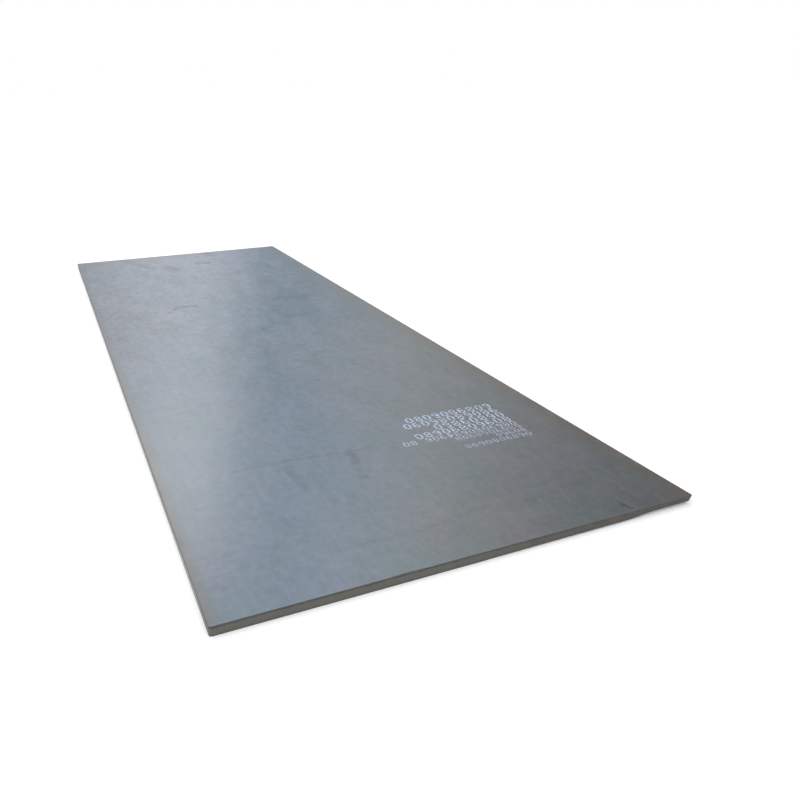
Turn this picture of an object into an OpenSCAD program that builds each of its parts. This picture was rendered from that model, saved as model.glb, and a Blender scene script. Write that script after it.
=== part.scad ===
// Hot-rolled steel plate, cut to size on all four sides.
//
// The plate is one rolled piece, so it is one solid. X runs across the width,
// Y along the length, which is the rolling direction, and Z up through the
// thickness. The origin is the middle of the underside. Sizes are millimetres.

/* [Plate] */
// Length, along the rolling direction
plate_length = 6000; // [1000:10:12000]
// Width, across the rolling direction
plate_width = 2000; // [500:10:4000]
// Thickness, between the two rolled faces
plate_thickness = 38; // [8:1:120]

/* [Cut edges] */
// Radius of the four upright corners, seen from above
corner_radius = 12; // [4:0.5:60]
// Radius of the arris round the top face, where the torch goes in
top_arris_radius = 2.2; // [0.5:0.1:3.5]
// Radius of the arris round the underside, where the torch comes out
bottom_arris_radius = 1.4; // [0.5:0.1:3.5]

/* [Hidden] */
$fn = 64;

// The blue-grey oxide that hot rolling leaves on both faces.
mill_scale_colour = [0.52, 0.56, 0.59];

// The upright corners turn about centres this far from the middle of the plate.
corner_x = plate_width / 2 - corner_radius;
corner_y = plate_length / 2 - corner_radius;

// Section of the plate from a line inside it out to one cut edge, at x = reach.
// The cut face stands upright between its two rounded arrises.
module edge_section(reach) {
    top_centre = plate_thickness - top_arris_radius;
    // metal below the top arris, as far out as the bottom arris's centre
    square([reach - bottom_arris_radius, top_centre]);
    // metal above the bottom arris, as far out as the top arris's centre
    translate([0, bottom_arris_radius])
        square([reach - top_arris_radius, plate_thickness - bottom_arris_radius]);
    // the cut face, between the two centres
    translate([0, bottom_arris_radius])
        square([reach, top_centre - bottom_arris_radius]);
    translate([reach - bottom_arris_radius, bottom_arris_radius])
        circle(bottom_arris_radius);
    translate([reach - top_arris_radius, top_centre])
        circle(top_arris_radius);
}

// A bar with a cut edge on its two sides in X, and square ends in Y.
module rolled_bar(width, run) {
    rotate([90, 0, 0])
        linear_extrude(run, center = true) {
            edge_section(width / 2);
            mirror([1, 0]) edge_section(width / 2);
        }
}

// One quarter of a corner round, from the +X side to the +Y side.
module corner_round() {
    rotate_extrude(angle = 90) edge_section(corner_radius);
}

module plate() {
    color(mill_scale_colour) {
        // the long cut edges, and the short ones
        rolled_bar(plate_width, 2 * corner_y);
        rotate([0, 0, 90]) rolled_bar(plate_length, 2 * corner_x);
        for (side = [0, 1], end = [0, 1])
            mirror([side, 0, 0])
                mirror([0, end, 0])
                    translate([corner_x, corner_y, 0])
                        corner_round();
    }
}

plate();
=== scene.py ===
# %% [markdown]
# # A hot-rolled steel plate
#
# The object is one heavy plate, two metres wide and six long, as it leaves the cutting
# bench of a plate mill. Rolling leaves a hard blue-grey skin of oxide on both faces, the
# mill scale, and the torch that cuts the plate to size leaves a duller, finely grooved
# face all the way round. On top, near one end, a marking machine has sprayed rows of
# digits in pale paint.
#
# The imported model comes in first. It fixes every size and place, so the rest of the
# lesson measures it and never repeats a dimension that it can ask for.

import math
import random
import re
from collections import namedtuple

import bmesh
import bpy
from mathutils import Matrix, Vector, noise


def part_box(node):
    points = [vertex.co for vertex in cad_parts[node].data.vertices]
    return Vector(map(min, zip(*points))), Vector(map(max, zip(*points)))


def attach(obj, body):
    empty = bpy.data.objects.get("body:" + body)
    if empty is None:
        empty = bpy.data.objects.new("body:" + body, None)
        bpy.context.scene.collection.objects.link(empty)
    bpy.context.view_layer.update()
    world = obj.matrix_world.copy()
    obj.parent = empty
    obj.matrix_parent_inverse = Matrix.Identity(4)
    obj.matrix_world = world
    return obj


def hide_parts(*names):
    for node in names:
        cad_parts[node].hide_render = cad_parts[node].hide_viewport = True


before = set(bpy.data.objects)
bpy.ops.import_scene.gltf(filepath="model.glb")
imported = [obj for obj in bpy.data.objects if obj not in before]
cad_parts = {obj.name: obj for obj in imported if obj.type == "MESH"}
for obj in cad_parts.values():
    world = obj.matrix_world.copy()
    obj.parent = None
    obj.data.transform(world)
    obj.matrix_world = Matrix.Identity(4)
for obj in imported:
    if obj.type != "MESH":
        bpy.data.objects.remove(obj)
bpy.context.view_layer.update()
low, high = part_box("plate")
size = high - low
middle = (low + high) / 2
print("plate", [round(s, 4) for s in size], "m, nodes", sorted(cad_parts))

# %% [markdown]
# ## The camera
#
# The camera comes first, because everything after it is seen through it. It is a
# person's view: standing just off the near left corner with the camera at eye level,
# looking along the plate and a little down. A 34 mm lens takes in the whole length.
# The place is given from the plate's own corner, so it moves with the plate's size.

# %% The camera
BESIDE = 0.279  # how far left of the near left corner, in metres
BEFORE = 1.979  # how far in front of the near end
EYE_HEIGHT = 1.594  # above the floor
TURNED_RIGHT = 23.25  # degrees, from looking straight along the plate
TILTED_DOWN = 22.30
ROLLED = -0.77  # the hand-held camera leans a little
LENS = 34.07  # mm, on a sensor 36 mm wide
SHIFT = 0.0348  # share of the picture's width


def look(turned_right, tilted_down, rolled):
    """The camera's turn: level and facing +Y, then rolled, tilted and turned."""
    return (
        Matrix.Rotation(math.radians(-turned_right), 4, "Z")
        @ Matrix.Rotation(math.radians(90 - tilted_down), 4, "X")
        @ Matrix.Rotation(math.radians(rolled), 4, "Z")
    )


camera = bpy.data.objects.new("camera", bpy.data.cameras.new("camera"))
bpy.context.scene.collection.objects.link(camera)
bpy.context.scene.camera = camera
camera.data.lens = LENS
camera.data.shift_x = SHIFT
camera_place = Vector((low.x - BESIDE, low.y - BEFORE, low.z + EYE_HEIGHT))
camera.matrix_world = Matrix.Translation(camera_place) @ look(TURNED_RIGHT, TILTED_DOWN, ROLLED)
print("camera at", [round(c, 3) for c in camera_place], "lens", LENS, "mm")

# %% [markdown]
# ## Helpers for node trees
#
# Every finish below is a small net of shader nodes, and wiring them one by one is long
# to read. So a few helpers come first: one adds a node and plugs values or sockets into
# its inputs, the next ones wrap the nodes that are used most, and the last two start a
# node group and a material. A group is the right tool when an effect is wanted by more
# than one finish: it is built once, has named inputs and outputs, and each material
# places it with its own values.

# %% Node helpers
def feed(tree, node, inputs):
    """Fills a node's inputs, by name or number, from values or from output sockets."""
    for key, value in inputs.items():
        if isinstance(value, bpy.types.NodeSocket):
            tree.links.new(value, node.inputs[key])
        else:
            node.inputs[key].default_value = value


def add_node(tree, kind, inputs=None, **settings):
    """A new node with its settings made and its inputs fed."""
    node = tree.nodes.new("ShaderNode" + kind)
    for name, value in settings.items():
        setattr(node, name, value)
    feed(tree, node, inputs or {})
    return node


def calc(tree, operation, a, b=0.0, c=0.0):
    """The result of one Math node."""
    return add_node(tree, "Math", {0: a, 1: b, 2: c}, operation=operation).outputs[0]


def vector_calc(tree, operation, a, b=(0.0, 0.0, 0.0)):
    """The Vector Math node for a and b, whose output is chosen by the caller."""
    return add_node(tree, "VectorMath", {0: a, 1: b}, operation=operation).outputs


def stacked(tree, start, *layers):
    """The start value, plus the value of each layer times its weight."""
    total = start
    for value, weight in layers:
        total = calc(tree, "MULTIPLY_ADD", value, weight, total)
    return total


def noise_value(tree, vector, scale, detail=3.0, roughness=0.5):
    """Soft noise from 0 to 1, at scale bumps a metre."""
    inputs = {"Vector": vector, "Scale": scale, "Detail": detail, "Roughness": roughness}
    return add_node(tree, "TexNoise", inputs).outputs[0]


def between(tree, value, start, end, low_out=0.0, high_out=1.0):
    """value from start..end, eased smoothly to low_out..high_out and held past the ends."""
    inputs = {0: value, 1: start, 2: end, 3: low_out, 4: high_out}
    return add_node(tree, "MapRange", inputs, interpolation_type="SMOOTHSTEP").outputs[0]


def mixed(tree, factor, a, b, blend="MIX"):
    """Colours a and b mixed by factor."""
    return add_node(tree, "Mix", {0: factor, 6: a, 7: b}, data_type="RGBA", blend_type=blend).outputs[2]


def dimmed(tree, colour, share):
    """A colour multiplied by a number that changes over the surface."""
    grey = add_node(tree, "CombineColor", {0: share, 1: share, 2: share}).outputs[0]
    return mixed(tree, 1.0, colour, grey, "MULTIPLY")


def start_group(name, inputs, outputs):
    """An empty node group. inputs maps names to defaults, outputs names to socket kinds."""
    tree = bpy.data.node_groups.new(name, "ShaderNodeTree")
    for label, default in inputs.items():
        kind = "NodeSocketVector" if isinstance(default, tuple) else "NodeSocketFloat"
        tree.interface.new_socket(label, in_out="INPUT", socket_type=kind).default_value = default
    for label, kind in outputs.items():
        tree.interface.new_socket(label, in_out="OUTPUT", socket_type="NodeSocket" + kind)
    return tree, tree.nodes.new("NodeGroupInput").outputs, tree.nodes.new("NodeGroupOutput")


def place_group(tree, group, inputs):
    """A group placed in a tree, with its own values. Returns the group node's outputs."""
    return add_node(tree, "Group", inputs, node_tree=group).outputs


def start_material(name):
    """A material with a Principled shader, and the Object coordinates in metres."""
    material = bpy.data.materials.new(name)
    material.use_nodes = True
    tree = material.node_tree
    place = add_node(tree, "TexCoord").outputs["Object"]
    return material, tree, tree.nodes["Principled BSDF"], place


print("node helpers ready")

# %% [markdown]
# ## The studio
#
# Steel is mostly seen by what it reflects, so the room matters as much as the
# material. The floor is plain and nearly white, and it glows a very little itself, which
# lifts the plate's shadow without one more lamp. Overhead is an even pale dome, which
# does most of the lighting. Lower down, the plate's left has a row of bright windows.
# Right of them comes a wall, cool beside the windows and dimmer and warmer further
# round. The scale is only half glossy, so it blurs the border between the two into a
# long soft fade, and that fade is what tells the eye that the grey surface is metal.
#
# The dome is made in the world's nodes, from the direction of each ray. It could also
# be a ring of area lamps, but a ring leaves gaps that show as bars in a flat plate.
# The camera itself sees a plain white backdrop in its place.

# %% How bright each side of the dome is
BORDER = 15.6  # where the windows end at floor level, in degrees to the right of +Y
BORDER_LEAN = 0.165  # the border leans to the left as it rises, as a slope
BORDER_SOFT = 0.034  # half the width of that border's fade, as a sine
# radiance of each side at a height above the horizon, in degrees
WINDOW_HEIGHTS = [
    (0, (0.80, 0.85, 0.96)),
    (11, (0.93, 0.99, 1.11)),
    (13, (1.06, 1.13, 1.25)),
    (18, (1.22, 1.32, 1.46)),
    (23, (2.03, 2.12, 2.24)),
    (28, (2.78, 2.84, 2.97)),
    (32, (2.27, 2.42, 2.63)),
    (37, (1.18, 1.30, 1.43)),
    (60, (1.30, 1.32, 1.35)),
]
WALL_HEIGHTS = [(0, 0.40), (12, 0.49), (18, 0.67), (24, 0.88), (31, 1.08), (42, 1.20)]
# how bright each side is by degrees to the right of +Y
WINDOW_TURNS = [
    (-180, 0.80),
    (-60, 0.90),
    (-30, 0.70),
    (-5, 0.45),
    (2, 0.62),
    (6, 0.88),
    (9, 0.93),
]
WALL_TURNS = [
    (-180, (0.85, 0.86, 0.88)),
    (-120, (0.90, 1.12, 1.35)),
    (16, (0.86, 1.08, 1.32)),
    (20, (1.00, 1.17, 1.35)),
    (26, (1.08, 1.14, 1.16)),
    (31, (0.88, 0.90, 0.90)),
    (37, (0.60, 0.60, 0.59)),
    (44, (0.35, 0.33, 0.325)),
    (58, (0.40, 0.39, 0.39)),
    (95, (0.85, 0.86, 0.88)),
    (180, (0.85, 0.86, 0.88)),
]
OVERHEAD = (1.27, 1.30, 1.35)
OVERHEAD_FROM, OVERHEAD_FULL = 44, 60  # degrees above the horizon
print("windows reach", max(max(colour) for height, colour in WINDOW_HEIGHTS), "at their brightest")


# %% The dome of light
def ramp(tree, factor, stops):
    """Colour by factor, from places between 0 and 1 with a colour or a share of white."""
    node = add_node(tree, "ValToRGB", {0: factor})
    elements = node.color_ramp.elements
    for number, (spot, colour) in enumerate(stops):
        stop = elements[number] if number < 2 else elements.new(spot)
        stop.position = spot
        stop.color = (*(colour if isinstance(colour, tuple) else (colour,) * 3), 1.0)
    return node.outputs[0]


def sine(degrees):
    return math.sin(math.radians(degrees))


bpy.context.scene.view_settings.view_transform = "Standard"
world = bpy.data.worlds.new("studio")
bpy.context.scene.world = world
world.use_nodes = True
tree = world.node_tree
tree.nodes.clear()
direction = add_node(tree, "TexCoord").outputs["Generated"]
axes = add_node(tree, "SeparateXYZ", {0: direction}).outputs
turn = calc(tree, "ARCTAN2", axes[0], axes[1])
turn_share = calc(tree, "MULTIPLY_ADD", turn, 0.5 / math.pi, 0.5)


def by_height(stops):
    return ramp(tree, axes[2], [(sine(degrees), colour) for degrees, colour in stops])


def by_turn(stops):
    return ramp(tree, turn_share, [(0.5 + degrees / 360, colour) for degrees, colour in stops])


windows = mixed(tree, 1.0, by_height(WINDOW_HEIGHTS), by_turn(WINDOW_TURNS), "MULTIPLY")
wall = mixed(tree, 1.0, by_turn(WALL_TURNS), by_height(WALL_HEIGHTS), "MULTIPLY")
border = (-math.cos(math.radians(BORDER)), sine(BORDER), -BORDER_LEAN)
leftness = vector_calc(tree, "DOT_PRODUCT", direction, border)["Value"]
dome = mixed(tree, between(tree, leftness, -BORDER_SOFT, BORDER_SOFT), wall, windows)
overhead = between(tree, axes[2], sine(OVERHEAD_FROM), sine(OVERHEAD_FULL))
dome = mixed(tree, overhead, dome, (*OVERHEAD, 1.0))
lit = add_node(tree, "Background", {"Color": dome})
backdrop = add_node(tree, "Background", {"Color": (1.0, 1.0, 1.0, 1.0)})
seen = add_node(tree, "LightPath").outputs["Is Camera Ray"]
shown = add_node(tree, "MixShader", {0: seen, 1: lit.outputs[0], 2: backdrop.outputs[0]})
add_node(tree, "OutputWorld", {0: shown.outputs[0]})
print("dome of light:", len(tree.nodes), "nodes")

# %% The floor
FLOOR_REACH = 400.0  # metres, so that its far edge is lost in the backdrop
FLOOR_GAP = 0.0005  # below the plate, so that the two faces don't fight
FLOOR_PAINT = (0.97, 0.94, 0.91, 1.0)  # a touch warm, which evens out the cool dome
FLOOR_GLOW = 0.12  # light that comes up through the floor, which lifts the shadow


def make_piece(name, bm, *materials):
    """An object at the origin for a finished bmesh."""
    mesh = bpy.data.meshes.new(name)
    bm.to_mesh(mesh)
    bm.free()
    for material in materials:
        mesh.materials.append(material)
    piece = bpy.data.objects.new(name, mesh)
    bpy.context.scene.collection.objects.link(piece)
    return piece


floor_material, tree, shader, place = start_material("floor")
feed(tree, shader, {
    "Base Color": FLOOR_PAINT, "Roughness": 0.8, "IOR": 1.3,
    "Emission Color": (1.0, 1.0, 1.0, 1.0), "Emission Strength": FLOOR_GLOW,
})
bm = bmesh.new()
bmesh.ops.create_grid(bm, x_segments=1, y_segments=1, size=FLOOR_REACH)
bmesh.ops.translate(bm, vec=(middle.x, middle.y, low.z - FLOOR_GAP), verts=bm.verts)
floor = make_piece("floor", bm, floor_material)
print("floor", floor.dimensions.x, "m across")

# %% [markdown]
# ## Shared effects
#
# Two effects are wanted by more than one finish. *Rust bloom* is the thin brown flush
# that damp leaves on steel: soft clouds with a speckled border, strongest where the
# mask that it is given is strong. *Mill scale tone* is the oxide skin itself. Mill scale
# isn't one grey: under the rolls it gets faint streaks along the plate and low ripples
# across it, the water sprays leave clouds of bluer, greener and purpler oxide, and here
# and there a flake has come off. Patches and freckles of it are thicker and darker, and
# the group's Unevenness says how strongly they show. The paint on top needs the same
# tone wherever it has worn through. Both groups put out only values and colours, and
# leave the shader to the material.

# %% Rust bloom
RUST_DARK = (0.115, 0.068, 0.042, 1.0)
RUST_PALE = (0.200, 0.140, 0.098, 1.0)
SPECKLE_FINER = 14.0  # the speckle is this many times finer than the clouds
RUST_FROM, RUST_FULL = -0.12, 0.42  # heights of the summed noise between which rust sets in

tree, given, result = start_group(
    "rust_bloom",
    {"Vector": (0.0, 0.0, 0.0), "Mask": 0.5, "Scale": 6.0},
    {"Amount": "Float", "Color": "Color"},
)
clouds = noise_value(tree, given["Vector"], given["Scale"], detail=5.0, roughness=0.62)
finer = calc(tree, "MULTIPLY", given["Scale"], SPECKLE_FINER)
speckle = noise_value(tree, given["Vector"], finer, detail=3.0, roughness=0.6)
lowered = stacked(tree, -1.0, (clouds, 0.75), (speckle, 0.35), (given["Mask"], 1.0))
feed(tree, result, {
    "Amount": between(tree, lowered, RUST_FROM, RUST_FULL),
    "Color": mixed(tree, speckle, RUST_DARK, RUST_PALE),
})
rust_bloom = tree
print("rust bloom:", len(tree.nodes), "nodes")

# %% Layers of the mill scale
ROLLED_CLOUDS = (1.0, 0.5, 1.0)  # clouds are drawn out along the plate
ROLLED_STREAKS = (60.0, 1.1, 60.0)  # streaks much more so
ROLLED_RIPPLES = (0.4, 1.0, 1.0)  # and ripples lie across it, as the rolls chatter
FLAKE_SCALE = 60.0  # flakes a metre
FIELD_SCALE = 3.1  # and fields a metre in which they come off

tree, given, result = start_group(
    "mill_scale_tone",
    {"Vector": (0.0, 0.0, 0.0), "Unevenness": 1.0},
    {"Color": "Color", "Roughness": "Float", "Height": "Float"},
)
along = vector_calc(tree, "MULTIPLY", given["Vector"], ROLLED_CLOUDS)["Vector"]
clouds = noise_value(tree, along, 1.3, detail=5.0, roughness=0.55)
tints = noise_value(tree, along, 5.0, detail=4.0, roughness=0.6)
patches = noise_value(tree, along, 9.0, detail=4.0, roughness=0.6)
mottle = noise_value(tree, given["Vector"], 24.0, detail=4.0, roughness=0.8)
grain = noise_value(tree, given["Vector"], 150.0, detail=3.0, roughness=0.6)
across = vector_calc(tree, "MULTIPLY", given["Vector"], ROLLED_RIPPLES)["Vector"]
ripples = noise_value(tree, across, 4.0, detail=3.0, roughness=0.6)
freckles = noise_value(tree, along, 36.0, detail=3.0, roughness=0.7)
drawn_out = vector_calc(tree, "MULTIPLY", given["Vector"], ROLLED_STREAKS)["Vector"]
streaks = noise_value(tree, drawn_out, 1.0, detail=3.0, roughness=0.6)
flakes = add_node(tree, "TexVoronoi", {"Vector": given["Vector"], "Scale": FLAKE_SCALE})
flakes = flakes.outputs["Distance"]
flake_fields = between(tree, noise_value(tree, given["Vector"], FIELD_SCALE), 0.55, 0.72)
flaked = calc(tree, "MULTIPLY", between(tree, flakes, 0.22, 0.10), flake_fields)
print("layers of the scale:", len(tree.nodes), "nodes")

# %% Mill scale colour, roughness and height
BLUE_SCALE = (0.142, 0.160, 0.172, 1.0)
GREY_SCALE = (0.158, 0.162, 0.164, 1.0)
GREEN_TINT = (0.955, 1.025, 0.995, 1.0)
PURPLE_TINT = (1.035, 0.970, 1.030, 1.0)
BARE_STEEL = (0.172, 0.173, 0.170, 1.0)

uneven = stacked(tree, -0.41, (patches, 0.30), (freckles, 0.30), (tints, 0.22))
shade = stacked(tree, 0.56, (mottle, 0.48), (streaks, 0.16), (grain, 0.24))
shade = stacked(tree, shade, (uneven, given["Unevenness"]))
tint = mixed(tree, between(tree, tints, 0.3, 0.7), GREEN_TINT, PURPLE_TINT)
colour = mixed(tree, between(tree, clouds, 0.3, 0.7), BLUE_SCALE, GREY_SCALE)
colour = mixed(tree, 1.0, colour, tint, "MULTIPLY")
colour = mixed(tree, flaked, dimmed(tree, colour, shade), BARE_STEEL)
rough = stacked(tree, 0.14, (patches, 0.12), (mottle, 0.06), (flaked, 0.02))
relief = stacked(tree, 0.0, (grain, 0.5), (streaks, 0.4), (mottle, 1.2), (ripples, 14.0))
feed(tree, result, {"Color": colour, "Roughness": rough, "Height": relief})
mill_scale_tone = tree
print("mill scale tone:", len(tree.nodes), "nodes")

# %% [markdown]
# ## Marks of handling
#
# A plate is dragged, slung and walked on. Each mark is a soft stroke between two
# points on the top face: a long thin one is a scratch, a short wide one a smudge.
# One group draws a stroke, and a short list says where each lies, in metres from the
# near left corner. Noise in the group ruffles the stroke's sides and breaks it up, so
# that it fades and comes back as a real scratch does.

# %% One stroke
RUFFLE = 1.6  # how far noise moves a stroke's sides, as a share of its softness
FAINTEST = 0.25  # how much of a stroke is left where it has all but faded

tree, given, result = start_group(
    "stroke",
    {"Vector": (0.0, 0.0, 0.0), "Start": (0.0, 0.0, 0.0), "Along": (1.0, 0.0, 0.0),
     "Half Width": 0.01, "Softness": 0.01},
    {"Mask": "Float"},
)
flat_place = vector_calc(tree, "MULTIPLY", given["Vector"], (1.0, 1.0, 0.0))["Vector"]
offset = vector_calc(tree, "SUBTRACT", flat_place, given["Start"])["Vector"]
run = vector_calc(tree, "DOT_PRODUCT", offset, given["Along"])["Value"]
whole = vector_calc(tree, "DOT_PRODUCT", given["Along"], given["Along"])["Value"]
share = add_node(tree, "Math", {0: run, 1: whole}, operation="DIVIDE", use_clamp=True).outputs[0]
reached = add_node(tree, "VectorMath", {0: given["Along"], "Scale": share}, operation="SCALE")
distance = vector_calc(tree, "DISTANCE", offset, reached.outputs[0])["Value"]
distance = calc(tree, "SUBTRACT", distance, given["Half Width"])
distance = calc(tree, "DIVIDE", distance, given["Softness"])
ruffle = noise_value(tree, given["Vector"], 30.0, detail=4.0, roughness=0.65)
distance = stacked(tree, -RUFFLE / 2, (distance, 1.0), (ruffle, RUFFLE))
fading = noise_value(tree, given["Vector"], 17.0, detail=3.0, roughness=0.6)
breaks = between(tree, fading, 0.36, 0.58, FAINTEST, 1.0)
mask = calc(tree, "MULTIPLY", between(tree, distance, 1.0, 0.0), breaks)
feed(tree, result, {"Mask": mask})
stroke = tree
print("stroke:", len(tree.nodes), "nodes")

# %% The list of marks
Mark = namedtuple("Mark", "start end half_width softness strength")
MARKS = [
    # a sling chain's scrape: a short hook and its tail
    Mark((0.52, 3.76), (0.61, 3.91), 0.004, 0.030, 0.75),
    Mark((0.61, 3.91), (0.74, 3.88), 0.008, 0.035, 1.00),
    # faint scores where plates were dragged across each other
    Mark((0.32, 1.00), (0.64, 1.00), 0.002, 0.012, 0.40),
    Mark((0.64, 1.00), (0.85, 0.97), 0.002, 0.012, 0.40),
    Mark((0.90, 0.97), (1.03, 0.98), 0.002, 0.014, 0.30),
    Mark((0.45, 0.24), (0.80, 0.23), 0.002, 0.014, 0.14),
    Mark((0.86, 0.23), (1.20, 0.28), 0.002, 0.016, 0.20),
    Mark((1.25, 0.33), (1.60, 0.36), 0.002, 0.016, 0.16),
    # smudges by hand or boot
    Mark((0.56, 0.94), (0.57, 0.72), 0.002, 0.030, 0.30),
    Mark((0.87, 0.98), (0.84, 0.72), 0.006, 0.035, 0.50),
    Mark((1.44, 3.80), (1.60, 3.80), 0.020, 0.090, 0.40),
    Mark((1.33, 3.29), (1.42, 3.31), 0.015, 0.080, 0.32),
    Mark((1.58, 0.29), (1.64, 0.29), 0.008, 0.030, 0.40),
    # scorched dashes by the near end
    Mark((1.68, 0.12), (1.69, 0.07), 0.002, 0.012, 0.45),
    Mark((1.69, 0.06), (1.70, 0.03), 0.003, 0.014, 0.90),
    Mark((0.64, 0.004), (0.76, 0.004), 0.001, 0.005, 0.70),
    # dark stains at the far end
    Mark((0.79, 5.43), (0.83, 5.22), 0.030, 0.055, 1.00),
    Mark((0.45, 5.90), (0.64, 5.44), 0.016, 0.060, 0.75),
    Mark((1.10, 5.48), (1.16, 5.47), 0.030, 0.055, 0.95),
    Mark((1.27, 5.92), (1.27, 5.80), 0.030, 0.055, 1.00),
]
print(len(MARKS), "marks")

# %% [markdown]
# ## The rolled face
#
# The material puts the pieces together: the tone of the scale, the marks darkened into
# it, a dull rim where the scale has worn along the outline, and a flush of rust in that
# rim. The rim is wider on the right side, where plates lean against each other in
# store, and widest at the far end, which was handled most. The near end has none,
# because it was cut last. The far part cooled less evenly, so the patches get stronger
# towards it.
#
# The scale is an iron oxide over steel, and it reflects about half as a metal does: the
# part that is metallic takes the oxide's own tint into the reflection, and the rest is
# a clear hard skin. That skin bends light nearly as hard as diamond, and its high index
# of refraction gives the strong reflection that plain paint never has.

# %% Rolled face: the scale and its rim
RIM_TONE = (0.150, 0.132, 0.115, 1.0)
RIM_REACH = 0.06  # metres in from the outline over which the rim's tone fades out
RIM_RAGGED = 0.04  # metres over which the rim's border wanders
RIM_STRENGTH = 0.9  # how much of its tone there is at the outline
FAR_UNEVENNESS = 4.2  # how much stronger the scale's patches are at the far end
EVEN_UNTIL = 0.6  # metres from the near end where they start to get stronger
RIGHT_WIDER = 2.3  # the rim is this many times wider on the right side, by the near end
FAR_RIGHT_WIDER = 4.5  # this many times on that side further on
WIDENS_FROM, WIDENS_UNTIL = 1.0, 4.0  # metres from the near end between which that changes
FAR_END_WIDER = 5.0  # and this many times along the far end

rolled_face, tree, shader, place = start_material("rolled_face")
axes = add_node(tree, "SeparateXYZ", {0: place}).outputs
uneven = between(tree, axes[1], low.y + EVEN_UNTIL, high.y, 1.0, FAR_UNEVENNESS)
tone = place_group(tree, mill_scale_tone, {"Vector": place, "Unevenness": uneven})

from_left = calc(tree, "SUBTRACT", axes[0], low.x)
widens_from, widens_until = low.y + WIDENS_FROM, low.y + WIDENS_UNTIL
wider = between(tree, axes[1], widens_from, widens_until, RIGHT_WIDER, FAR_RIGHT_WIDER)
from_right = calc(tree, "DIVIDE", calc(tree, "SUBTRACT", high.x, axes[0]), wider)
from_far = calc(tree, "DIVIDE", calc(tree, "SUBTRACT", high.y, axes[1]), FAR_END_WIDER)
rim = calc(tree, "MINIMUM", calc(tree, "MINIMUM", from_left, from_right), from_far)
raggedness = noise_value(tree, place, 9.0, detail=4.0, roughness=0.6)
ragged_rim = stacked(tree, -RIM_RAGGED / 2, (rim, 1.0), (raggedness, RIM_RAGGED))
worn = between(tree, ragged_rim, RIM_REACH, 0.0, 0.0, RIM_STRENGTH)
colour = mixed(tree, worn, tone["Color"], RIM_TONE)
print("scale and rim:", len(tree.nodes), "nodes")

# %% Rolled face: the marks
MARK_TONE = (0.055, 0.060, 0.064, 1.0)

marks = None
for mark in MARKS:
    start = Vector((low.x + mark.start[0], low.y + mark.start[1], 0.0))
    end = Vector((low.x + mark.end[0], low.y + mark.end[1], 0.0))
    mask = place_group(tree, stroke, {
        "Vector": place, "Start": start, "Along": end - start,
        "Half Width": mark.half_width, "Softness": mark.softness,
    })["Mask"]
    mask = calc(tree, "MULTIPLY", mask, mark.strength)
    marks = mask if marks is None else calc(tree, "MAXIMUM", marks, mask)
top_only = between(tree, axes[2], middle.z, high.z)
colour = mixed(tree, calc(tree, "MULTIPLY", marks, top_only), colour, MARK_TONE)
print("with the marks:", len(tree.nodes), "nodes")

# %% Rolled face: rust and the shader
SCALE_METALLIC = 0.6
SCALE_IOR = 2.3
RUST_REACH = 0.06  # metres in from the outline over which the rust gets fainter
RUST_INSIDE, RUST_OUTSIDE = 0.10, 0.40  # the rust's mask past that reach and at the outline
RUST_ROUGHER = 0.22  # how much roughness rust adds

rust_mask = between(tree, rim, RUST_REACH, 0.0, RUST_INSIDE, RUST_OUTSIDE)
rust = place_group(tree, rust_bloom, {"Vector": place, "Mask": rust_mask, "Scale": 7.0})
colour = mixed(tree, rust["Amount"], colour, rust["Color"])
metallic = stacked(tree, SCALE_METALLIC, (rust["Amount"], -SCALE_METALLIC))
rough = stacked(tree, tone["Roughness"], (rust["Amount"], RUST_ROUGHER))
bump = add_node(tree, "Bump", {"Height": tone["Height"], "Strength": 0.25, "Distance": 0.0004})
feed(tree, shader, {
    "Base Color": colour, "Metallic": metallic, "Roughness": rough, "IOR": SCALE_IOR,
    "Normal": bump.outputs[0],
})
print("rolled face:", len(tree.nodes), "nodes")

# %% [markdown]
# ## The cut face
#
# The torch burns its way through from the top. It melts the top corner round, leaves
# fine grooves that run down the face and lean back a little, and blows the slag out at
# the bottom. The face takes on a dull olive grey, darker in a band just under the top
# corner and at the foot, with light rust in patches. Towards the right its colour is
# painted darker still, as painted shade. The long edges carry painted light: their
# colour is lighter, all but their last stretch by the near end.

# %% Cut face: grooves, streams and blotches
GROOVE_LEAN = 0.35  # how far the grooves lean back, as a share of the height

cut_face, tree, shader, place = start_material("cut_face")
axes = add_node(tree, "SeparateXYZ", {0: place}).outputs
level = calc(tree, "DIVIDE", calc(tree, "SUBTRACT", axes[2], low.z), size.z)
run = calc(tree, "ADD", axes[0], axes[1])
lean = calc(tree, "MULTIPLY", calc(tree, "MULTIPLY", level, level), GROOVE_LEAN * size.z)
leaned = calc(tree, "ADD", run, lean)


def down_the_face(stretch):
    """Coordinates for grooves: fast along the cut, and slow down it by the stretch."""
    down = calc(tree, "MULTIPLY", axes[2], stretch)
    return add_node(tree, "CombineXYZ", {0: leaned, 1: down}).outputs[0]


grooves = noise_value(tree, down_the_face(0.12), 420.0, detail=2.0, roughness=0.55)
streams = noise_value(tree, down_the_face(0.25), 60.0, detail=3.0, roughness=0.6)
blotches = noise_value(tree, place, 26.0, detail=4.0, roughness=0.6)
print("layers of the cut:", len(tree.nodes), "nodes")

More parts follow.
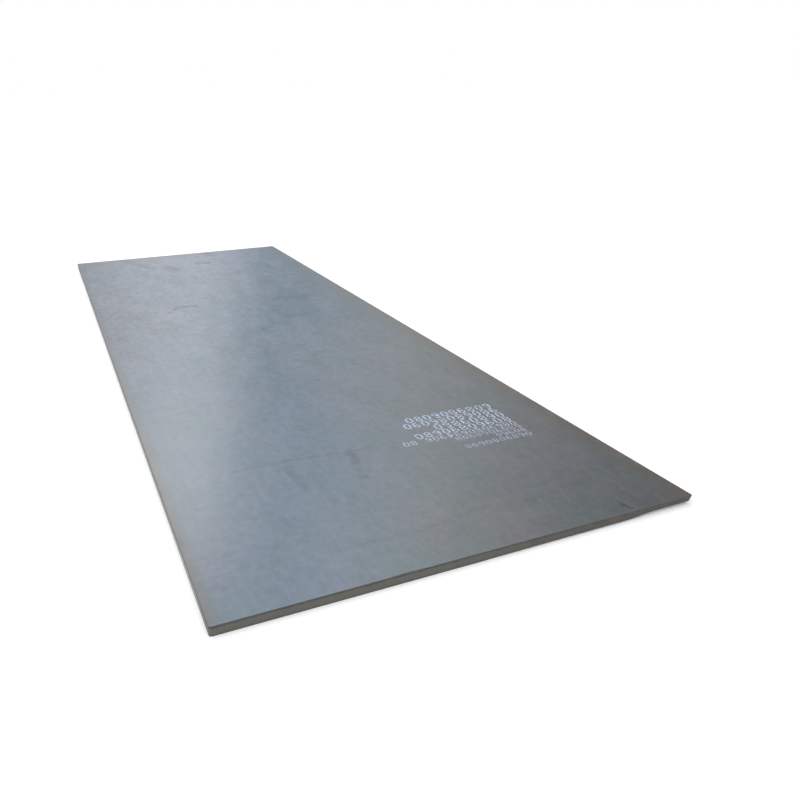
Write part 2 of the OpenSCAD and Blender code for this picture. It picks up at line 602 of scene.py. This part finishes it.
# %% Cut face: tone and the shader
TORCH_GREY = (0.086, 0.088, 0.073, 1.0)
BAND_DARK_TONE = (0.036, 0.036, 0.032, 1.0)
TOP_BAND_DARK, FOOT_DARK = 0.85, 0.45  # how much dark tone the band under the top corner and the foot have
RIGHT_END_PAINTED_SHADE = 0.42  # painted shade: the right side keeps this share of the tone
SHADES_FROM = 0.6  # metres from the left side where the tone starts to fall to that
LONG_EDGE_PAINTED_LIGHT = 3.0  # painted light: the long edges are made this many times lighter
EDGE_FROM, EDGE_FULL = 0.012, 0.004  # metres in from the side where that starts and is full
EDGE_LIGHT_FROM = 0.25  # metres from the near end where that painted light is full

top_band = between(tree, stacked(tree, level, (blotches, 0.30)), 0.86, 1.0, 0.0, TOP_BAND_DARK)
foot = between(tree, stacked(tree, level, (streams, 0.30)), 0.42, 0.20, 0.0, FOOT_DARK)
shade = stacked(tree, 0.60, (grooves, 0.5), (streams, 0.3))
# painted shade: the colour darkens towards the right side
painted_shade_to_right = between(tree, axes[0], low.x + SHADES_FROM, high.x, 1.0, RIGHT_END_PAINTED_SHADE)
shade = calc(tree, "MULTIPLY", shade, painted_shade_to_right)
# painted light: the long edges' colour is lighter, fading in from the near end
from_middle = calc(tree, "ABSOLUTE", axes[0])
edge_light_ramp = between(tree, axes[1], low.y, low.y + EDGE_LIGHT_FROM, 1.0, LONG_EDGE_PAINTED_LIGHT)
half = size.x / 2
painted_edge_light = between(tree, from_middle, half - EDGE_FROM, half - EDGE_FULL, 1.0, edge_light_ramp)
shade = calc(tree, "MULTIPLY", shade, painted_edge_light)
colour = mixed(tree, calc(tree, "MAXIMUM", top_band, foot), dimmed(tree, TORCH_GREY, shade), BAND_DARK_TONE)
rust = place_group(tree, rust_bloom, {"Vector": place, "Mask": 0.40, "Scale": 24.0})
colour = mixed(tree, rust["Amount"], colour, rust["Color"])
relief = stacked(tree, grooves, (blotches, 0.6))
bump = add_node(tree, "Bump", {"Height": relief, "Strength": 0.7, "Distance": 0.0012})
feed(tree, shader, {
    "Base Color": colour, "Roughness": stacked(tree, 0.48, (blotches, 0.2)), "IOR": 1.6,
    "Normal": bump.outputs[0],
})
print("cut face:", len(tree.nodes), "nodes")

# %% [markdown]
# ## The plate itself
#
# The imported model's plate is a clean prism. A real one never is: the faces roll in
# long shallow waves, the torch wanders, and the corners carry dents. So the visible
# plate is made again here with its own relief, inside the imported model's box.
#
# It starts as a cube stretched to size. Bevels round the upright corners and the two
# arrises. The top and bottom caps come off, and the band that is left is cut into
# fine columns, because that is where the relief is small. Each cap comes back as a
# coarse grid, bridged to the band: the middle of the plate needs few faces.

# %% Cube, corners and arrises
CORNER_RADIUS = 0.012
TOP_ARRIS = 0.0022
BOTTOM_ARRIS = 0.0014
RIM_WIDTH = 0.0015  # a narrow flat ring inside each arris, which keeps its shading crisp
LEVEL_ENOUGH = 1e-5  # metres within which a point counts as level with a cap

bm = bmesh.new()
bmesh.ops.create_cube(bm, size=1.0)
bmesh.ops.scale(bm, vec=size, verts=bm.verts)
bmesh.ops.translate(bm, vec=middle, verts=bm.verts)


def span(edge, axis):
    """How far an edge reaches along one axis."""
    return abs(edge.verts[0].co[axis] - edge.verts[1].co[axis])


def cap_at(z):
    """The big flat face at height z."""
    level = [f for f in bm.faces if abs(f.calc_center_median().z - z) < LEVEL_ENOUGH]
    return max(level, key=lambda f: f.calc_area())


def bevel(edges, offset, segments):
    bmesh.ops.bevel(bm, geom=edges, offset=offset, segments=segments, profile=0.5,
                    affect="EDGES", material=-1)


bevel([e for e in bm.edges if span(e, 2) > size.z / 2], CORNER_RADIUS, 6)
for z, radius, segments in ((high.z, TOP_ARRIS, 4), (low.z, BOTTOM_ARRIS, 3)):
    bevel(list(cap_at(z).edges), radius, segments)
    bm.normal_update()
    bmesh.ops.inset_region(bm, faces=[cap_at(z)], thickness=RIM_WIDTH, use_even_offset=True)
    bmesh.ops.delete(bm, geom=[cap_at(z)], context="FACES_ONLY")
print("band:", len(bm.faces), "faces round the edge")

# %% Columns and rows in the band
COLUMN = 0.006  # metres from one column to the next
ROWS = 9  # from the top arris to the bottom one

wall_edges = [e for e in bm.edges if span(e, 2) > size.z / 2]
bmesh.ops.subdivide_edges(bm, edges=wall_edges, cuts=ROWS - 1, use_grid_fill=True)
for axis in (0, 1):
    long_edges = [e for e in bm.edges if span(e, axis) > size[axis] / 2]
    columns = round(size[axis] / COLUMN)
    bmesh.ops.subdivide_edges(bm, edges=long_edges, cuts=columns - 1, use_grid_fill=True)
print("band:", len(bm.faces), "faces after cutting")

# %% Caps
CELL = 0.05  # metres, each way
CAP_MARGIN = 0.045  # between a cap's grid and the outline, which the bridge fills


def is_open(edge):
    """True on the border of a hole and on the border of a grid."""
    return len(edge.link_faces) == 1


for z in (high.z, low.z):
    grid = bmesh.ops.create_grid(bm, x_segments=round(size.x / CELL), y_segments=round(size.y / CELL),
                                 size=0.5)["verts"]
    bmesh.ops.scale(bm, vec=(size.x - 2 * CAP_MARGIN, size.y - 2 * CAP_MARGIN, 1.0), verts=grid)
    bmesh.ops.translate(bm, vec=(middle.x, middle.y, z), verts=grid)
    both_loops = [e for e in bm.edges if is_open(e) and abs(e.verts[0].co.z - z) < LEVEL_ENOUGH]
    bmesh.ops.bridge_loops(bm, edges=both_loops)
bmesh.ops.remove_doubles(bm, verts=bm.verts, dist=1e-6)
bmesh.ops.recalc_face_normals(bm, faces=bm.faces)
open_edges = sum(len(e.link_faces) != 2 for e in bm.edges)
print("plate:", len(bm.faces), "faces,", open_edges, "open edges")

# %% [markdown]
# ### Relief
#
# Every point now moves a little, always inwards, so that the plate never grows out
# of its box. On the faces it is a slow wave of under a millimetre. On the cut band it
# is the wander of the torch: a slow drift, short scallops that lean with the grooves,
# and here and there a nick in the top arris. At the near end the foot of the face has
# burned away towards the right, so the end gets thinner there. The near right corner
# has also taken a knock from below, which pushes its lower half in and up.

# %% Depths of the relief
WAVE = 0.0008  # depth of the rolled faces' waves
LEAST_WAVE = 0.2  # how much of that there is where they are shallowest
WAVES_ACROSS, WAVES_ALONG = 1.3, 0.8  # a metre
WAVE_FADE = 0.3  # metres from the outline over which the waves fade out
DRIFT = 0.0007  # how far the torch drifts off its line
DRIFTS = 1.9  # a metre
SCALLOP = 0.0004  # depth of the scallops
SCALLOPS = 38  # a metre
SCALLOP_CHANGE = 0.6  # how far a scallop changes from its foot to its top
SCALLOP_LEAN = 0.25  # how far they lean back, as a share of the height
NICK = 0.0022  # depth of the deepest nick
NICKS = 9  # places a metre where there could be one
NICK_FROM = 0.74  # and the noise's height from which there is
BAND = CORNER_RADIUS - TOP_ARRIS - 2.5 * RIM_WIDTH  # points further out than this are in the band
SLICES_APART = 17.3  # far enough that no two seeds' noise looks alike


def soft(x, y, seed):
    """Smooth noise from 0 to 1. Each effect has its own seed, and so its own slice."""
    return noise.noise(Vector((x, y, SLICES_APART * seed))) * 0.5 + 0.5


def wave_depth(x, y):
    """How deep the rolled face lies below the box at a place."""
    fade = min(size.x / 2 - abs(x - middle.x), size.y / 2 - abs(y - middle.y)) / WAVE_FADE
    share = LEAST_WAVE + (1 - LEAST_WAVE) * soft(x * WAVES_ACROSS, y * WAVES_ALONG, 4)
    return WAVE * share * max(0.0, min(1.0, fade))


def outward(point):
    """From the nearest point of a rectangle that is one corner radius in from the outline."""
    reach = Vector((size.x / 2 - CORNER_RADIUS, size.y / 2 - CORNER_RADIUS))
    offset = (point - middle).to_2d()
    nearest = Vector([max(-r, min(r, o)) for r, o in zip(reach, offset)])
    return offset - nearest


print("depth of the wave in the middle", round(wave_depth(middle.x, middle.y) * 1000, 2), "mm")

# %% Move the points
KNOCK = Vector((-0.008, 0.004, 0.0065))  # how far the knocked corner's foot has moved
KNOCK_REACH = 0.35  # metres from the corner, of which the nearer half moves all the way
THINNED = 0.006  # how far the foot of the near end rises towards that corner

deepest = 0.0
knocked_corner = Vector((high.x, low.y))
for v in bm.verts:
    x, y, z = v.co
    level = (z - low.z) / size.z
    facing = outward(v.co)
    if facing.length > BAND:
        run = x + y + SCALLOP_LEAN * z
        push = DRIFT * soft(x * DRIFTS, y * DRIFTS, 1)
        push += SCALLOP * soft(run * SCALLOPS, level * SCALLOP_CHANGE, 2)
        over = soft(x * NICKS, y * NICKS, 3) - NICK_FROM
        push += NICK * max(0.0, over) / (1 - NICK_FROM) * level ** 3
        v.co -= (facing.normalized() * push).to_3d()
        deepest = max(deepest, push)
    v.co.z += wave_depth(x, y) * (1 - 2 * level)
    if facing.length > BAND and y < low.y + CORNER_RADIUS:
        v.co.z += THINNED * (1 - level) * max(0.0, (x - middle.x) / (size.x / 2)) ** 0.5
    if facing.length > BAND:
        away = (Vector((x, y)) - knocked_corner).length
        share = min(1.0, max(0.0, 2 - 2 * away / KNOCK_REACH))
        v.co += KNOCK * share ** 2 * (3 - 2 * share) * (1 - level)
print("deepest torch relief", round(deepest * 1000, 2), "mm")

# %% Give the plate its two finishes
FLAT_ENOUGH = 0.98  # a face that looks this straight up or down is rolled, not cut

bm.normal_update()
for face in bm.faces:
    face.smooth = True
    face.material_index = 0 if abs(face.normal.z) > FLAT_ENOUGH else 1
plate = make_piece("steel_plate", bm, rolled_face, cut_face)
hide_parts("plate")
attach(plate, "root")
print("steel_plate", [round(d, 4) for d in plate.dimensions])

# %% [markdown]
# ## The sprayed digits
#
# Mills mark each plate with a machine that walks over it and fires dots of pale paint,
# five across and seven down for each character. Here the rows hold plain digits only.
# They face the far end, so from the near end they are upside down.
#
# A text object would be quicker, but its clean outlines look printed. So the paint is
# modelled as it lands. One dot is a low eight-sided button. The machine moves down the
# digit while it fires, so dots that follow each other in a column run together, and a
# column's unbroken run becomes one stroke: a dot whose far half is moved on by the
# length of the run. The strokes follow the wave of the face, half sunk in it, and each
# is a little off its place, as spray from a nozzle is.

# %% Paint material
PAINT = (0.50, 0.56, 0.72, 1.0)
MOST_WORN = 0.3  # how much of the paint's colour is left in the most worn spots
THIN_PAINT = 0.62  # how much of it the thinly sprayed rows have, which are the nearest ones
THIN_UNTIL, FULL_FROM = 0.85, 1.0  # metres from the near end where that changes

marking_paint, tree, shader, place = start_material("marking_paint")
tone = place_group(tree, mill_scale_tone, {"Vector": place})
patchy = noise_value(tree, place, 28.0, detail=4.0, roughness=0.6)
fine = noise_value(tree, place, 240.0, detail=3.0, roughness=0.65)
held = stacked(tree, 0.0, (patchy, 0.8), (fine, 0.5))
held = between(tree, held, 0.40, 0.66, MOST_WORN, 1.0)
along_plate = add_node(tree, "SeparateXYZ", {0: place}).outputs[1]
full = between(tree, along_plate, low.y + THIN_UNTIL, low.y + FULL_FROM, THIN_PAINT, 1.0)
held = calc(tree, "MULTIPLY", held, full)
feed(tree, shader, {
    "Base Color": mixed(tree, held, tone["Color"], PAINT),
    "Roughness": stacked(tree, tone["Roughness"], (held, 0.2)),
    "IOR": 1.5,
})
print("marking paint:", len(tree.nodes), "nodes")

# %% Shapes of the digits
DIGITS = {
    "0": ".###. #...# #...# #...# #...# #...# .###.",
    "1": "..#.. .##.. ..#.. ..#.. ..#.. ..#.. .###.",
    "2": ".###. #...# ....# ...#. ..#.. .#... #####",
    "3": ".###. #...# ....# ..##. ....# #...# .###.",
    "4": "...#. ..##. .#.#. #..#. ##### ...#. ...#.",
    "5": "##### #.... ####. ....# ....# #...# .###.",
    "6": ".###. #.... #.... ####. #...# #...# .###.",
    "7": "##### ....# ...#. ..#.. ..#.. ..#.. ..#..",
    "8": ".###. #...# #...# .###. #...# #...# .###.",
    "9": ".###. #...# #...# .#### ....# ....# .###.",
}
DOTS_ACROSS, DOTS_DOWN = 5, 7
print("dots in each digit:", [shape.count("#") for shape in DIGITS.values()])

# %% One dot of paint
DOT_SIDES = 8
DOT_TAPER = 0.85  # the top of a dot against its foot
PAINT_PROUD = 0.00010  # above the face
PAINT_SUNK = 0.00010  # below the face, so that no dot floats
THINNEST = 0.75  # the thinnest stroke's paint against the thickest's

nozzle = random.Random(7)

bm = bmesh.new()
bmesh.ops.create_cone(bm, cap_ends=True, segments=DOT_SIDES, radius1=0.5, radius2=0.5 * DOT_TAPER,
                      depth=PAINT_PROUD + PAINT_SUNK)
bmesh.ops.rotate(bm, matrix=Matrix.Rotation(math.pi / DOT_SIDES, 3, "Z"), verts=bm.verts)
bmesh.ops.translate(bm, vec=(0.0, 0.0, (PAINT_PROUD - PAINT_SUNK) / 2), verts=bm.verts)
one_dot = bpy.data.meshes.new("one_dot")
bm.to_mesh(one_dot)
bm.free()


def stroke_mesh(width, height, length):
    """A dot of this width and height, with its far half moved on by length."""
    mesh = one_dot.copy()
    mesh.transform(Matrix.Diagonal((width, height, nozzle.uniform(THINNEST, 1.0), 1.0)))
    for v in mesh.vertices:
        if v.co.y > 0:
            v.co.y += length
    return mesh


print("one dot:", len(one_dot.polygons), "faces")

# %% Rows of digits
Row = namedtuple("Row", "text near height pitch")  # near is metres from the near end
ROW_START = 1.75  # where every row starts, in metres from the left edge
ROW_LIST = [
    Row("0689080698", 0.773, 0.038, 0.0375),
    Row("80960", 0.822, 0.036, 0.0350),
    Row("6809068908", 0.864, 0.038, 0.0375),
    Row("0869080684906 80", 0.907, 0.044, 0.0395),
    Row("80960890680", 0.956, 0.056, 0.0495),
    Row("06809860", 1.018, 0.058, 0.0510),
    Row("98068086090", 1.082, 0.058, 0.0495),
    Row("6089806080", 1.146, 0.058, 0.0505),
]
CELL_SHARE = 0.68  # how much of the pitch a digit fills
DOT_WIDTH, DOT_HEIGHT = 1.30, 1.05  # a dot's size as a share of its cell
MISFIRE = 0.02  # share of dots that the nozzle missed
STRAY = 0.08  # how far a stroke is off its place, as a share of its cell

bm = bmesh.new()
strokes = 0
for row in ROW_LIST:
    across = row.pitch * CELL_SHARE / DOTS_ACROSS
    down = row.height / DOTS_DOWN
    for place_in_row, digit in enumerate(row.text):
        if digit == " ":
            continue
        lines = DIGITS[digit].split()
        for column in range(DOTS_ACROSS):
            fired = "".join("." if nozzle.random() < MISFIRE else line[column] for line in lines)
            for run in re.finditer("#+", fired):
                mesh = stroke_mesh(across * DOT_WIDTH, down * DOT_HEIGHT, (len(run.group()) - 1) * down)
                x = low.x + ROW_START - place_in_row * row.pitch
                x -= (column + 0.5 + nozzle.uniform(-STRAY, STRAY)) * across
                y = low.y + row.near + (run.start() + 0.5 + nozzle.uniform(-STRAY, STRAY)) * down
                mesh.transform(Matrix.Translation((x, y, 0.0)))
                bm.from_mesh(mesh)
                bpy.data.meshes.remove(mesh)
                strokes += 1
for v in bm.verts:
    v.co.z += high.z - wave_depth(v.co.x, v.co.y)
marking = make_piece("paint_marking", bm, marking_paint)
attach(marking, "root")
print("paint_marking:", strokes, "strokes,", len(marking.data.polygons), "faces")
